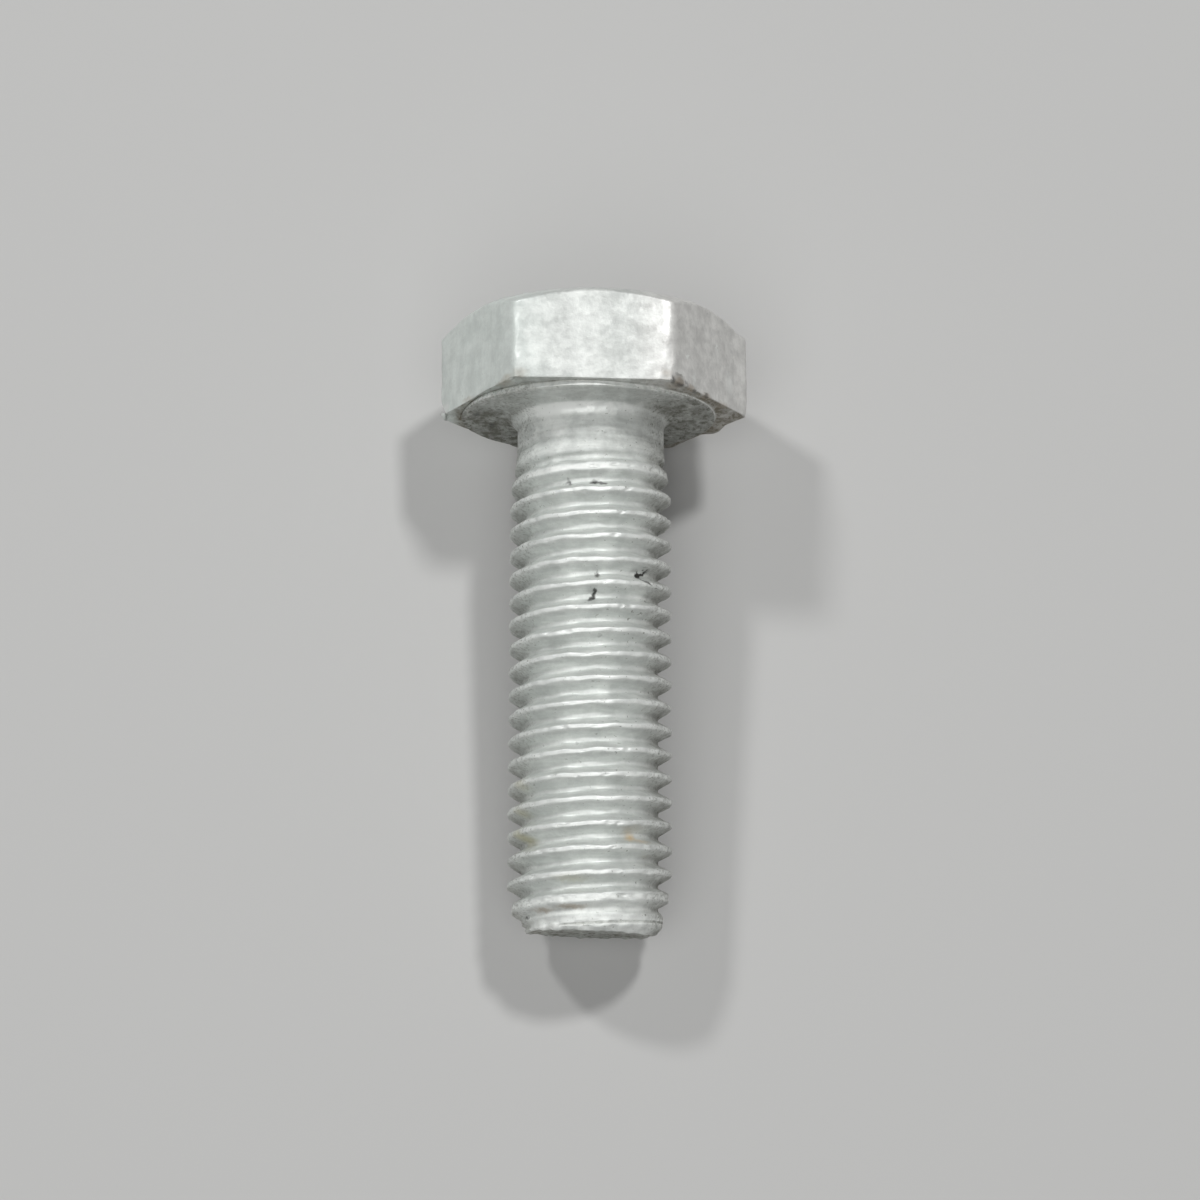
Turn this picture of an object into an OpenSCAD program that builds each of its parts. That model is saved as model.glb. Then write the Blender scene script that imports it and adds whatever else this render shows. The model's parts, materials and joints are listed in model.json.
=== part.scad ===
// Heavy hex structural bolt, 5/8 in - 11 threads to the inch, 2 in long: forged, rolled and
// galvanised as one piece. Millimetres, +Z up.
//
// The bolt lies the way it comes to rest on a flat surface: on the bearing-side edge of its
// lowest head flat and on its last full crest. Its axis runs along Y, head at +Y and point at
// -Y. The origin is on the axis, in the plane of the bearing face.

/* [Head] */
// Width across two opposite flats of the hexagon
across_flats = 26.5; // [21:0.1:33]
// Height of the head, with its washer face
head_h = 9.6; // [6:0.1:14]
// How much of each sharp corner is rounded off, measured towards the axis
corner_cut = 0.2; // [0.1:0.05:0.6]
// Angle of the top chamfer, measured from the flat on top
chamfer_angle = 30; // [15:1:40]
// How far the rim of the flat on top stays inside the hexagon's flats
chamfer_inset = 0.85; // [0.2:0.05:2]
// How far the rim of the washer face stays inside the hexagon's flats
washer_inset = 0.65; // [0.1:0.05:1.5]
// Height by which the washer face stands proud of the hexagon
washer_h = 0.4; // [0.2:0.1:1]

/* [Shank] */
// Length from the bearing face to the end of the point
shank_l = 50.8; // [30:0.1:66]
// Length of plain neck, from the bearing face to where the thread begins
neck_l = 2.2; // [1.6:0.1:12]
// Radius of the fillet between the neck and the bearing face
fillet_r = 1.4; // [0.5:0.1:2]
// Length of the point's taper, along the axis
point_l = 2.9; // [1.5:0.1:5]
// How far the point tapers in from the crests
point_inset = 1.85; // [1:0.05:2.5]

/* [Thread] */
// Diameter over the crests
thread_d = 15.875; // [13:0.005:20]
// Distance from one crest to the next
pitch = 2.309; // [1.9:0.001:2.8]
// Turns over which the thread grows from nothing to its full depth
runout_turns = 3; // [1:0.25:4]
// Flat facets in one turn
turn_steps = 40; // [24:4:44]

/* [Hidden] */
zinc = "lightgray";
round_fn = 96;
slack = 1; // how far a solid runs into what it joins, and a cutter past what it cuts

corner_r = across_flats / 2 / cos(30) - corner_cut;
top_r = across_flats / 2 - chamfer_inset;
washer_r = across_flats / 2 - washer_inset;
thread_r = thread_d / 2;
point_r = thread_r - point_inset;
neck_r = thread_r - 0.3 * pitch; // the thread is rolled on a neck of about its pitch diameter

// Thread profile: 60 degrees between the flanks, a crest flat of an eighth of the pitch, and a
// root that is rounded off below the ends of the flanks.
crest_w = pitch / 8;
flank_h = 0.575 * pitch;
flank_w = flank_h * tan(30);
root_h = 0.6134 * pitch;
// Each row: distance along the axis from the middle of the crest, and depth below the crest
profile = [
    [-crest_w / 2, 0],
    [crest_w / 2, 0],
    [crest_w / 2 + flank_w, flank_h],
    [pitch / 2, root_h],
    [pitch - crest_w / 2 - flank_w, flank_h],
];
rows = len(profile);

// The thread's solid starts one turn inside the neck, sunk a little below its surface, and runs
// on past the end of the point, where it is cut.
sink = 0.08;
first_turn = -1;
last_turn = ceil((shank_l - neck_l) / pitch) + 1;
steps = (last_turn - first_turn) * turn_steps;
neck_end = neck_l + pitch / 2;

// At rest the bolt leans on two places, each given as a distance along the axis from the
// bearing face and a radius: the hexagon's lower edge and the last full crest underneath.
full_turns = floor((shank_l - point_l - neck_l - crest_w / 2) / pitch - 0.5) + 0.5;
crest_rest = [neck_l + full_turns * pitch + crest_w / 2, thread_r];
head_rest = [-washer_h, across_flats / 2];
tilt = atan((head_rest[1] - crest_rest[1]) / (crest_rest[0] - head_rest[0]));

// Share of its full depth that the thread has reached after so many turns, eased at both ends.
function growth(turn) =
    let (x = min(1, max(0, turn / runout_turns))) x * x * (3 - 2 * x);

// Radius at a depth below the crest: from just under the neck to the full profile.
function thread_radius(depth, turn) =
    let (start = neck_r - sink) start + (thread_r - depth - start) * growth(turn);

// A point of the thread: one row of the profile, carried down a right-hand helix whose crest
// begins at the top side of the bolt.
function thread_point(step, row) =
    let (
        turn = first_turn + step / turn_steps,
        angle = -90 - 360 * turn,
        r = thread_radius(profile[row][1], turn)
    )
    [r * cos(angle), r * sin(angle), -(neck_l + pitch * turn + profile[row][0])];

// Place of that point in the list. The row after the last is the first row, one turn on.
function point_index(step, row) =
    let (at = row == rows ? step + turn_steps : step)
    at <= steps ? at * rows + row % rows : (steps + 1) * rows + at - steps - 1;

// Two triangles for the facet between a step and the next, and a row and the next.
function facet(step, row) = [
    [point_index(step, row), point_index(step, row + 1), point_index(step + 1, row)],
    [point_index(step + 1, row), point_index(step, row + 1), point_index(step + 1, row + 1)],
];

// The thread: a strip one pitch wide, wound against itself into a closed skin. Its first and
// last turns are closed by a fan of triangles around a point on the axis.
module thread() {
    start_hub = (steps + 1) * rows + turn_steps;
    end_hub = start_hub + 1;
    points = concat(
        [for (step = [0:steps], row = [0:rows - 1]) thread_point(step, row)],
        [for (step = [steps + 1:steps + turn_steps]) thread_point(step, 0)],
        [for (turn = [first_turn, last_turn]) [0, 0, -neck_l - pitch * (turn + 0.5)]]
    );
    skin = [for (step = [0:steps - 1], row = [0:rows - 1]) each facet(step, row)];
    start_fan = [
        for (step = [0:turn_steps - 1])
            [start_hub, point_index(step, 0), point_index(step + 1, 0)],
        for (row = [0:rows - 1])
            [start_hub, point_index(0, row + 1), point_index(0, row)],
    ];
    end_fan = [
        for (step = [steps:steps + turn_steps - 1])
            [end_hub, point_index(step + 1, 0), point_index(step, 0)],
        for (row = [0:rows - 1])
            [end_hub, point_index(steps, row), point_index(steps, row + 1)],
    ];
    polyhedron(points, concat(skin, start_fan, end_fan));
}

// What the thread is cut to: clear of the crests along the shank, then the tapered point.
module point_limit() {
    taper = point_inset / point_l;
    rotate_extrude($fn = round_fn)
        polygon([
            [0, slack],
            [thread_r + slack, slack],
            [thread_r + slack, point_l + slack / taper - shank_l],
            [point_r, -shank_l],
            [0, -shank_l],
        ]);
}

// Plain neck, flaring into the bearing face through its fillet.
module neck() {
    flare_r = neck_r + fillet_r;
    edge = 2 * sink;
    rotate_extrude($fn = round_fn)
        difference() {
            polygon([
                [0, washer_h],
                [flare_r, washer_h],
                [flare_r, -fillet_r],
                [neck_r, -fillet_r],
                [neck_r, -neck_end],
                [neck_r - edge, -neck_end - edge],
                [0, -neck_end - edge],
            ]);
            translate([flare_r, -fillet_r])
                circle(fillet_r, $fn = round_fn);
        }
}

// Forged head: a hexagon inside the turned outline of its chamfers, on a round washer face.
module head() {
    chamfer_h = (corner_r - top_r) * tan(chamfer_angle);
    intersection() {
        translate([0, 0, washer_h])
            cylinder(h = head_h - washer_h, d = across_flats / cos(30), $fn = 6);
        rotate_extrude($fn = round_fn)
            polygon([
                [0, 0],
                [corner_r, 0],
                [corner_r, head_h - chamfer_h],
                [top_r, head_h],
                [0, head_h],
            ]);
    }
    cylinder(h = washer_h + slack, r = washer_r, $fn = round_fn);
}

module bolt() {
    color(zinc)
        rotate([tilt - 90, 0, 0]) {
            head();
            neck();
            intersection() {
                thread();
                point_limit();
            }
        }
}

bolt();
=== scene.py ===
import json
import math
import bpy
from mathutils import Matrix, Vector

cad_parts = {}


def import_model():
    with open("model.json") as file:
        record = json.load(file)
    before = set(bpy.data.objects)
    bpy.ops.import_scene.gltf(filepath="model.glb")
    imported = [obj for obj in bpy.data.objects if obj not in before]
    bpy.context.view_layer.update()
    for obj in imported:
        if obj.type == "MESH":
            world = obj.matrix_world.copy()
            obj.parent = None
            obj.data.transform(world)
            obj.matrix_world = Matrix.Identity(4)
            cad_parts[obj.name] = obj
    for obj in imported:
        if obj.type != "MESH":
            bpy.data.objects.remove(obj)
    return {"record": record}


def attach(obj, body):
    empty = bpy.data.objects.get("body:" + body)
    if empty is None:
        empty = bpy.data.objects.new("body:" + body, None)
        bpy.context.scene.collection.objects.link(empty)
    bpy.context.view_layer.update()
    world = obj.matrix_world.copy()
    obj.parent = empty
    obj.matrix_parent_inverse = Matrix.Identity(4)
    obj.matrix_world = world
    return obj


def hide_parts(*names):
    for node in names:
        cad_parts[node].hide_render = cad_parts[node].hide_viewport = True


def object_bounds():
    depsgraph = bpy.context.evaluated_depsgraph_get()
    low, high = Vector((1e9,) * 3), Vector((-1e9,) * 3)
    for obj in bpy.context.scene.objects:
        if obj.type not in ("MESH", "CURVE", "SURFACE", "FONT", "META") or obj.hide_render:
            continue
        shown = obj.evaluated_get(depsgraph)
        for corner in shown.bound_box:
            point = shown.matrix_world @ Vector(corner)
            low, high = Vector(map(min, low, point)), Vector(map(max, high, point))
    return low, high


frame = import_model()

from types import SimpleNamespace

import bpy
import numpy as np
from bpy.props import FloatProperty, FloatVectorProperty, PointerProperty
from mathutils import Matrix, Vector

bl_info = {
    "name": "Heavy Hex Structural Bolt",
    "version": (1, 0, 0),
    "blender": (4, 5, 0),
    "location": "View3D > Sidebar > Bolt",
    "description": "A galvanised heavy hex bolt lying on a pale studio floor",
    "category": "Add Mesh",
}

# Sizes inside the mesh code are in millimetres along the bolt: `along` is the distance from the
# bearing face towards the point, so the head has negative values, and `around` is the angle
# about the axis, from the top of the lying bolt towards +X.
MM = 0.001

CAD_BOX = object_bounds()
MOUNTS = {mount["name"]: mount for mount in frame["record"]["mounts"]}
TILT = math.atan2(-MOUNTS["bearing_face"]["axis"][2], -MOUNTS["bearing_face"]["axis"][1])
THREAD = MOUNTS["thread"]["dims"]
THREAD_MIDDLE = Vector(MOUNTS["thread"]["pos_m"]).length
HEAD_HEIGHT = Vector(MOUNTS["head_top"]["pos_m"]).length
HEXAGON_HEIGHT = MOUNTS["hexagon"]["dims"]["length_mm"] * MM
CORNER_CUT = 0.2 * MM
ACROSS_FLATS = 2 * (CAD_BOX[1].x + CORNER_CUT) * math.cos(math.radians(30))
# Pitch of 11 threads to the inch, in millimetres
STANDARD_PITCH = 2.309


# ---- Sizes and colours that a user can change ----------------------
def millimetres(name, description, default):
    """A length, given in millimetres and stored in metres."""
    return FloatProperty(
        name=name, description=description, default=default * MM, min=0, unit="LENGTH", precision=5
    )


def degrees(name, description, default):
    """An angle, given in degrees and stored in radians."""
    return FloatProperty(
        name=name, description=description, default=math.radians(default), subtype="ANGLE"
    )


def light(name, description, default):
    """A share of the light that makes a white floor white."""
    return FloatProperty(name=name, description=description, default=default, min=0, max=2)


def rgb(name, description, default):
    """A linear RGB colour."""
    return FloatVectorProperty(
        name=name, description=description, default=default, min=0, max=1, subtype="COLOR", size=3
    )


class BoltSizes(bpy.types.PropertyGroup):
    """Sizes of the bolt."""

    across_flats: millimetres(
        "Across flats", "Width across two flats of the hexagon", ACROSS_FLATS / MM
    )
    corner_cut: millimetres(
        "Corner cut", "How much of each sharp corner is rounded off", CORNER_CUT / MM
    )
    head_height: millimetres("Head height", "From the bearing face to the top", HEAD_HEIGHT / MM)
    washer_height: millimetres(
        "Washer face height", "How far the washer face stands proud",
        (HEAD_HEIGHT - HEXAGON_HEIGHT) / MM,
    )
    washer_inset: millimetres(
        "Washer face inset", "Washer face rim inside the hexagon's flats", 0.65
    )
    top_inset: millimetres("Top inset", "Rim of the flat on top inside the hexagon's flats", 0.85)
    chamfer_angle: degrees("Chamfer angle", "Top chamfer, from the flat on top", 30)
    shank_length: millimetres(
        "Shank length", "Bearing face to the end of the point",
        THREAD_MIDDLE / MM + THREAD["length_mm"] / 2,
    )
    neck_length: millimetres(
        "Neck length", "Plain neck before the thread", THREAD_MIDDLE / MM - THREAD["length_mm"] / 2
    )
    fillet_radius: millimetres("Fillet radius", "Fillet between neck and bearing face", 1.4)
    point_length: millimetres("Point length", "Length of the point's taper", 2.9)
    point_inset: millimetres("Point inset", "How far the point tapers in from the crests", 1.85)
    thread_diameter: millimetres("Thread diameter", "Over the crests", 2 * THREAD["r_mm"])
    pitch: millimetres("Pitch", "From one crest to the next", STANDARD_PITCH)
    groove_depth: millimetres("Groove depth", "Thread groove's depth, less its fill of zinc", 1.36)
    root_radius: millimetres("Root radius", "Between the groove's bottom and its walls", 0.25)
    root_width: millimetres("Root width", "Width of the groove's flat bottom", 0.16)
    runout_turns: FloatProperty(
        name="Run-out turns", description="Turns over which the thread grows", default=3, min=1
    )


class ZincFinish(bpy.types.PropertyGroup):
    """Colours of the galvanised coat."""

    bright: rgb("Bright zinc", "Lighter clouds of the coat", (0.73, 0.755, 0.73))
    dull: rgb("Dull zinc", "Darker clouds of the coat", (0.57, 0.595, 0.575))
    # this colour also paints a highlight on the washer face's rim, light on the neck and a
    # highlight at the hexagon's left lower corner
    chalk_and_highlight: rgb("Chalk", "Chalky white patches and worn crests", (0.9, 0.92, 0.895))
    cool: rgb("Cool cast", "Greenish cast of the coat on one side", (0.74, 0.8, 0.765))
    warm: rgb("Warm cast", "Warmer cast of the coat on the other side", (0.725, 0.71, 0.69))
    # this colour also paints shade in the step under the hexagon, on the washer face, down the
    # shank's lower sides, in the roots on the right and on the end face
    grime_and_shade: rgb("Grime", "Grey-brown dirt in corners and roots", (0.15, 0.15, 0.125))
    earth: rgb("Earth", "Brown dirt", (0.3, 0.22, 0.13))
    stain: rgb("Stain", "Yellowed patches low on the thread", (0.52, 0.49, 0.28))
    rust: rgb("Rust", "Small rust stains", (0.74, 0.53, 0.26))
    soot: rgb("Soot", "Black specks", (0.02, 0.02, 0.017))


class StudioStage(bpy.types.PropertyGroup):
    """Floor, lamps and camera."""

    floor: rgb("Floor", "Colour of the floor", (0.58, 0.58, 0.572))
    backdrop: rgb("Backdrop", "Colour behind the floor", (0.58, 0.58, 0.572))
    ambient: light("Ambient", "Soft light from all round", 0.07)
    right_lamp: light("Right lamp", "Light of the lamp behind on the right", 0.3)
    left_lamp: light("Left lamp", "Light of the lamp behind on the left", 0.2)
    front_lamp: light("Front lamp", "Light of the broad lamp in front", 0.4)
    lamp_size: millimetres("Lamp size", "Diameter of a lamp", 80)
    lamp_distance: millimetres("Lamp distance", "From each lamp to the bolt", 700)
    lens: FloatProperty(name="Lens", description="Focal length", default=86.8, unit="CAMERA")
    distance: millimetres("Distance", "From the camera to the bolt", 271.3)
    elevation: degrees("Elevation", "Camera above the floor", 71.85)
    azimuth: degrees("Azimuth", "Camera's turn from the bolt's axis", 1.36)
    roll: degrees("Roll", "Camera's turn about its view", 1.47)
    target: FloatVectorProperty(
        name="Target", description="Point in the middle of the view", unit="LENGTH", size=3,
        default=(0.851 * MM, -22.292 * MM, 10 * MM), precision=5,
    )


# ---- Shapes of numbers ---------------------------------------------
def eased(x):
    """0 up to x = 0, 1 from x = 1, and 3 x^2 - 2 x^3 between."""
    x = np.clip(x, 0, 1)
    return x * x * (3 - 2 * x)


def after(value, start, over):
    """0 up to the start, and 1 once the value is past it by `over`."""
    return eased((value - start) / over)


def before(value, end, over):
    """1 until the value is within `over` of the end, and 0 past the end."""
    return eased((end - value) / over)


def band(value, start, rise, end, fall):
    """1 in a band of values, eased up over `rise` from its start, down over `fall` to its end."""
    return after(value, start, rise) * before(value, end, fall)


def soft_min(a, b, width):
    """(a + b - sqrt((a - b)^2 + width^2)) / 2: the smaller, with the kink rounded off."""
    return (a + b - np.sqrt((a - b) ** 2 + width ** 2)) / 2


def waves(points, size, seed, count=30):
    """Smooth random swell of about unit height: the sum of `count` cosines, each running in its
    own seeded direction with a wavelength near `size`, over the square root of half the count."""
    rng = np.random.default_rng(seed)
    heading = rng.normal(size=(count, 3))
    heading /= np.linalg.norm(heading, axis=1)[:, None]
    heading *= 2 * math.pi / (size * rng.uniform(0.7, 1.6, count))[:, None]
    phase = rng.uniform(0, 2 * math.pi, count)
    return np.cos(points @ heading.T + phase).sum(axis=1) / math.sqrt(count / 2)


def near(points, centre, reach):
    """1 at the centre, falling evenly to 0 at `reach` away from it."""
    away = np.linalg.norm((points - np.array(centre)) / np.array(reach), axis=1)
    return np.clip(1 - away, 0, 1)


# ---- The bolt's surface --------------------------------------------
# Columns of the mesh around the bolt, and their angles when evenly spread
COLUMNS = 180
EVEN = 2 * np.pi * np.arange(COLUMNS) / COLUMNS
# How strongly the columns crowd towards the hexagon's corners, from 0 to 1
CROWDING = 0.75
# Rings above the neck over which the crowded columns even out
EVENING_RINGS = 18
# Rounding of the end's edge
POINT_EDGE_ROUND = 0.08
# Slope of the bevel that ends the point
POINT_BEVEL = 1.2
# Rise of the thread's walls, from the axis
WALL_ANGLE = math.radians(61.6)
# How far the washer face stands prouder than its standard height
WASHER_PROUD = 0.18
# How far the hexagon stands to the right of the axis, and the washer face to the left of it
HEXAGON_SHIFT, WASHER_SHIFT = 0.2, 0.27
# How far the hexagon's lower edge droops at the left corner
CORNER_DROOP = 0.32
# How much the bar is longer than its nominal length, and more so to the right and to the top
END_LONGER, END_SLANT = 0.38, (0.2, 0.17)
# How much lower the ridge's last turn is, where it is not fully formed
UNFORMED = 0.38
# How far the middle of the end face lies inside its edge
DISH = 0.25
# Places of the mesh rows across half a pitch, from the middle of a crest: close at the crest's
# edge and in the root, wide on the flank
HALF_PITCH_PLACES = np.array([0, 0.08, 0.155, 0.21, 0.28, 0.42, 0.62, 0.8, 0.93, 1.05])
HALF_PITCH_PLACES /= STANDARD_PITCH
ROW_PLACES = np.concatenate([HALF_PITCH_PLACES, [0.5], 1 - HALF_PITCH_PLACES[:0:-1]])


def hexagon_radius(around, half_flats, corner_radius):
    """Distance from the axis to a hexagon with rounded corners: half_flats over the p-norm of
    the cosines of the angle to its three pairs of flats, with p such that two equal cosines give
    the corner's radius."""
    power = math.log(2) / math.log(half_flats / math.cos(math.radians(30)) / corner_radius)
    facing = np.abs(np.cos(around[..., None] - np.radians([0, 60, 120])))
    return half_flats / (facing ** power).sum(axis=-1) ** (1 / power)


def rounded_outline(corners, rounding, arc_points, line_points):
    """A polyline for every column at once, with rounded corners. Each inner corner becomes the
    quadratic curve (1-t)^2 A + 2 t (1-t) corner + t^2 B between points A and B at its rounding
    distance on either side, and each straight run gets points crowded towards its two ends."""
    rows = []
    start = corners[0]
    for i in range(1, len(corners)):
        corner = corners[i]
        arriving = corner - corners[i - 1]
        arriving = arriving / np.linalg.norm(arriving, axis=-1, keepdims=True)
        a = corner - arriving * rounding[i]
        count = line_points[i - 1]
        for t in 0.5 - 0.5 * np.cos(np.pi * np.arange(1, count + 1) / (count + 1)):
            rows.append(start + (a - start) * t)
        rows.append(a)
        if i == len(corners) - 1:
            break
        leaving = corners[i + 1] - corner
        leaving = leaving / np.linalg.norm(leaving, axis=-1, keepdims=True)
        b = corner + leaving * rounding[i]
        for t in np.linspace(0, 1, arc_points[i])[1:]:
            rows.append((1 - t) ** 2 * a + 2 * t * (1 - t) * corner + t ** 2 * b)
        start = b
    return np.array(rows)


def head_rows(size):
    """Rows of the head and neck from the flat on top to the start of the thread, as arrays of
    radius, distance along and angle around. Down each column the outline runs over the top, the
    chamfer, the hexagon, its underside, the washer face and the fillet. Around the head the
    columns stand at a + c sin(6 a) / 6, with a the even angle and c the CROWDING."""
    half_flats = size.across_flats / 2
    corner_radius = half_flats / math.cos(math.radians(30)) - size.corner_cut
    crowded = EVEN + CROWDING / 6 * np.sin(6 * EVEN)
    hexagon = hexagon_radius(crowded, half_flats, corner_radius)
    top_r, washer_r = half_flats - size.top_inset, size.washer_r
    flare_r = size.neck_r + size.fillet_radius
    ones = np.ones(COLUMNS)

    def corner(radius, along):
        return np.stack([radius * ones, along * ones], axis=-1)

    chamfer_end = -size.head_height + (hexagon - top_r) * math.tan(size.chamfer_angle)
    corners = [
        corner(0.001, -size.head_height),
        corner(top_r, -size.head_height),
        corner(hexagon, chamfer_end),
        corner(hexagon, -size.washer_height),
        corner(washer_r - 0.1, -size.washer_height),
        corner(washer_r, 0),
        corner(flare_r, 0),
    ]
    # roundings and points on the curves, one for each corner, then points on each straight run
    rows = rounded_outline(
        corners,
        rounding=[0, 0.28, 0.2, 0.22, 0.08, 0.16, 0],
        arc_points=[0, 5, 5, 6, 4, 7, 0],
        line_points=[12, 5, 17, 4, 1, 8],
    )
    turn = np.linspace(0, np.pi / 2, 11)[1:]
    fillet = np.stack([
        flare_r - size.fillet_radius * np.sin(turn),
        size.fillet_radius * (1 - np.cos(turn)),
    ], axis=-1)
    neck = np.stack([
        np.full(3, size.neck_r), np.linspace(size.fillet_radius, size.rows_start, 4)[1:],
    ], axis=-1)
    shank = np.concatenate([fillet, neck])[:, None, :] * np.ones((1, COLUMNS, 1))
    rows = np.concatenate([rows, shank])
    # the columns even out between the washer face's rim and the end of the fillet
    evening = before(np.arange(len(rows)), len(rows) - len(neck), EVENING_RINGS)[:, None]
    around = EVEN + (crowded - EVEN) * evening
    return rows[..., 0], rows[..., 1], around


def lag_of(along, around, size):
    """Turns by which a place on the thread is past the middle of its crest, from -1/2 to 1/2."""
    phase = (along - size.neck_length) / size.pitch + around / (2 * np.pi)
    return phase - np.round(phase)


def end_at(around, size):
    """Distance along to the end's edge: the bar was cropped a little long and aslant."""
    slant = END_SLANT[0] * np.sin(around) + END_SLANT[1] * np.cos(around)
    return size.shank_length + END_LONGER + slant


def thread_radius(along, around, size):
    """Radius of the threaded shank. A groove is rolled in, with walls that rise at WALL_ANGLE
    from a flat bottom with round corners. It sinks below the neck's radius over the run-out
    turns, and a little later the ridge beside it rises above that radius: the radius is the soft
    minimum of ridge and groove. On top and on the right the last turn of the ridge is not fully
    formed. Near the point each ridge keeps below a cone, taken at the ridge's middle so that its
    top stays level, and a bevel ends the point."""
    pitch = size.pitch
    wander = around_points(along, around, size.thread_diameter / 2)
    lag = lag_of(along + 0.035 * waves(wander, 2.2, 21), around, size)
    from_root = pitch / 2 - np.abs(lag) * pitch
    turned = (along - size.neck_length) / pitch / size.runout_turns
    growth, rise = eased(turned), after(turned, 0.15, 0.85)
    crest_r, neck_r, point_r = size.thread_diameter / 2, size.neck_r, size.point_r
    root_r = crest_r - size.groove_depth
    slope = size.point_inset / size.point_length
    # how far a place is past the middle of its ridge, fading out down the walls
    past_middle = lag * pitch * before(np.abs(lag), 0.5, 0.25)
    to_end = end_at(around, size) - along
    cone = point_r + 0.1 + (to_end + past_middle) * slope
    unformed = after(along - past_middle, size.shank_length - 4.1, 1.1)
    unformed = UNFORMED * unformed * after(np.cos(around - 0.6), -0.6, 0.8)
    ridge = soft_min(neck_r + (crest_r - neck_r) * rise - unformed, cone, 0.05)
    from_flat = np.maximum(from_root - size.root_width / 2, 0)
    rounded = np.minimum(from_flat, size.root_radius * math.sin(WALL_ANGLE))
    wall = size.root_radius - np.sqrt(size.root_radius ** 2 - rounded ** 2)
    wall += (from_flat - rounded) * math.tan(WALL_ANGLE)
    groove = neck_r + (root_r - neck_r) * growth + wall
    bevel = point_r + to_end * POINT_BEVEL
    return soft_min(soft_min(ridge, groove, 0.07 * growth + 0.001), bevel, 0.02)


def around_points(along, around, radius):
    """Points on a cylinder of that radius, for waves that run over the shank."""
    return np.stack([radius * np.sin(around), -along, radius * np.cos(around)], axis=-1)


def thread_rows(size):
    """Rows of the threaded shank. Each row follows the helix: at angle a round the axis it lies
    at neck length + pitch (n - a / 2 pi), n being the row's place counted in turns, and is held
    between the thread's first and last ring. After a full turn it meets the row a turn earlier."""
    start = size.rows_start
    end = end_at(EVEN, size) - POINT_EDGE_ROUND
    first = math.floor((start - size.neck_length) / size.pitch) - 1
    last = math.ceil((end.max() - size.neck_length) / size.pitch) + 1
    turns = (np.arange(first, last + 1)[:, None] + ROW_PLACES).ravel()
    along = size.neck_length + size.pitch * (turns[:, None] - EVEN / (2 * np.pi))
    slack = 0.02
    along = np.where(along < start + slack, start, along)
    along = np.where(along > end - slack, end, along)
    return along, EVEN * np.ones_like(along), (along > start) & (along < end)


def tail_rows(size):
    """Rows of the point's end: its rounded edge, then the end face, dished by DISH in the
    middle as DISH (1 - (r / R)^2). The lean of the end's edge evens out towards the middle."""
    point_r = size.point_r
    edge = np.array([point_r, 0])
    a = edge + np.array([POINT_BEVEL, -1]) * POINT_EDGE_ROUND
    b = edge - np.array([0.15, 0])
    t = np.linspace(0, 1, 5)[:, None]
    curve = (1 - t) ** 2 * a + 2 * t * (1 - t) * edge + t ** 2 * b
    radius = np.linspace(b[0], 0, 13)[1:-1]
    face = np.stack([radius, -DISH * (1 - (radius / b[0]) ** 2)], axis=-1)
    rows = np.concatenate([curve, face])[:, None, :] * np.ones((1, COLUMNS, 1))
    around = EVEN * np.ones(rows.shape[:2])
    edge_s = end_at(around, size)
    middle_s = edge_s.mean()
    lean = (edge_s - middle_s) * np.minimum(rows[..., 0] / point_r, 1)
    return rows[..., 0], rows[..., 1] + middle_s + lean, around


def band_faces(upper, lower):
    """Two triangles for each cell between neighbouring rows of vertex numbers, less those that
    have no area. `upper` and `lower` hold a row's own numbers and the next row's, with the first
    column repeated."""
    a, b = upper[:, :-1].ravel(), upper[:, 1:].ravel()
    c, d = lower[:, :-1].ravel(), lower[:, 1:].ravel()
    faces = np.concatenate([np.stack([a, c, b], axis=1), np.stack([b, c, d], axis=1)])
    first, second, third = faces.T
    return faces[(first != second) & (second != third) & (third != first)]


def closed(numbers):
    """Vertex numbers of rings with their first column repeated after the last."""
    return np.concatenate([numbers, numbers[:, :1]], axis=1)


def bolt_surface(size):
    """The closed skin of the bolt: a pole on top of the head, the head's rings, the thread's
    helical rows, the rings of the end and a second pole. Gives radius, along and around of each
    vertex, and the triangles."""
    head_r, head_s, head_a = head_rows(size)
    tail_r, tail_s, tail_a = tail_rows(size)
    row_s, row_a, free = thread_rows(size)
    thread_s, thread_a = row_s[free], row_a[free]

    counts = np.cumsum([1, head_r.size, thread_s.size, tail_r.size])
    head = 1 + np.arange(head_r.size).reshape(head_r.shape)
    tail = counts[2] + np.arange(tail_r.size).reshape(tail_r.shape)
    rows = np.where(row_s <= size.rows_start, head[-1], tail[0])
    rows[free] = counts[1] + np.arange(thread_s.size)
    turn = len(ROW_PLACES)
    seam = np.concatenate([np.full(turn, head[-1, 0]), rows[:-turn, 0]])
    rows = np.concatenate([rows, seam[:, None]], axis=1)

    top_pole, end_pole = np.zeros((1, COLUMNS + 1), int), np.full((1, COLUMNS + 1), counts[3])
    head_ring, tail_ring = closed(head), closed(tail)
    faces = np.concatenate([
        band_faces(top_pole, head_ring[:1]),
        band_faces(head_ring[:-1], head_ring[1:]),
        band_faces(rows[:-1], rows[1:]),
        band_faces(tail_ring[:-1], tail_ring[1:]),
        band_faces(tail_ring[-1:], end_pole),
    ])
    radius = np.concatenate([
        [0], head_r.ravel(), thread_radius(thread_s, thread_a, size), tail_r.ravel(), [0],
    ])
    # the end's pole lies a little deeper than the ring around it
    along = np.concatenate([
        [-size.head_height], head_s.ravel(), thread_s, tail_s.ravel(),
        [tail_s[-1].mean() - DISH / 12],
    ])
    around = np.concatenate([[0], head_a.ravel(), thread_a, tail_a.ravel(), [0]])
    return radius, along, around, faces


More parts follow.
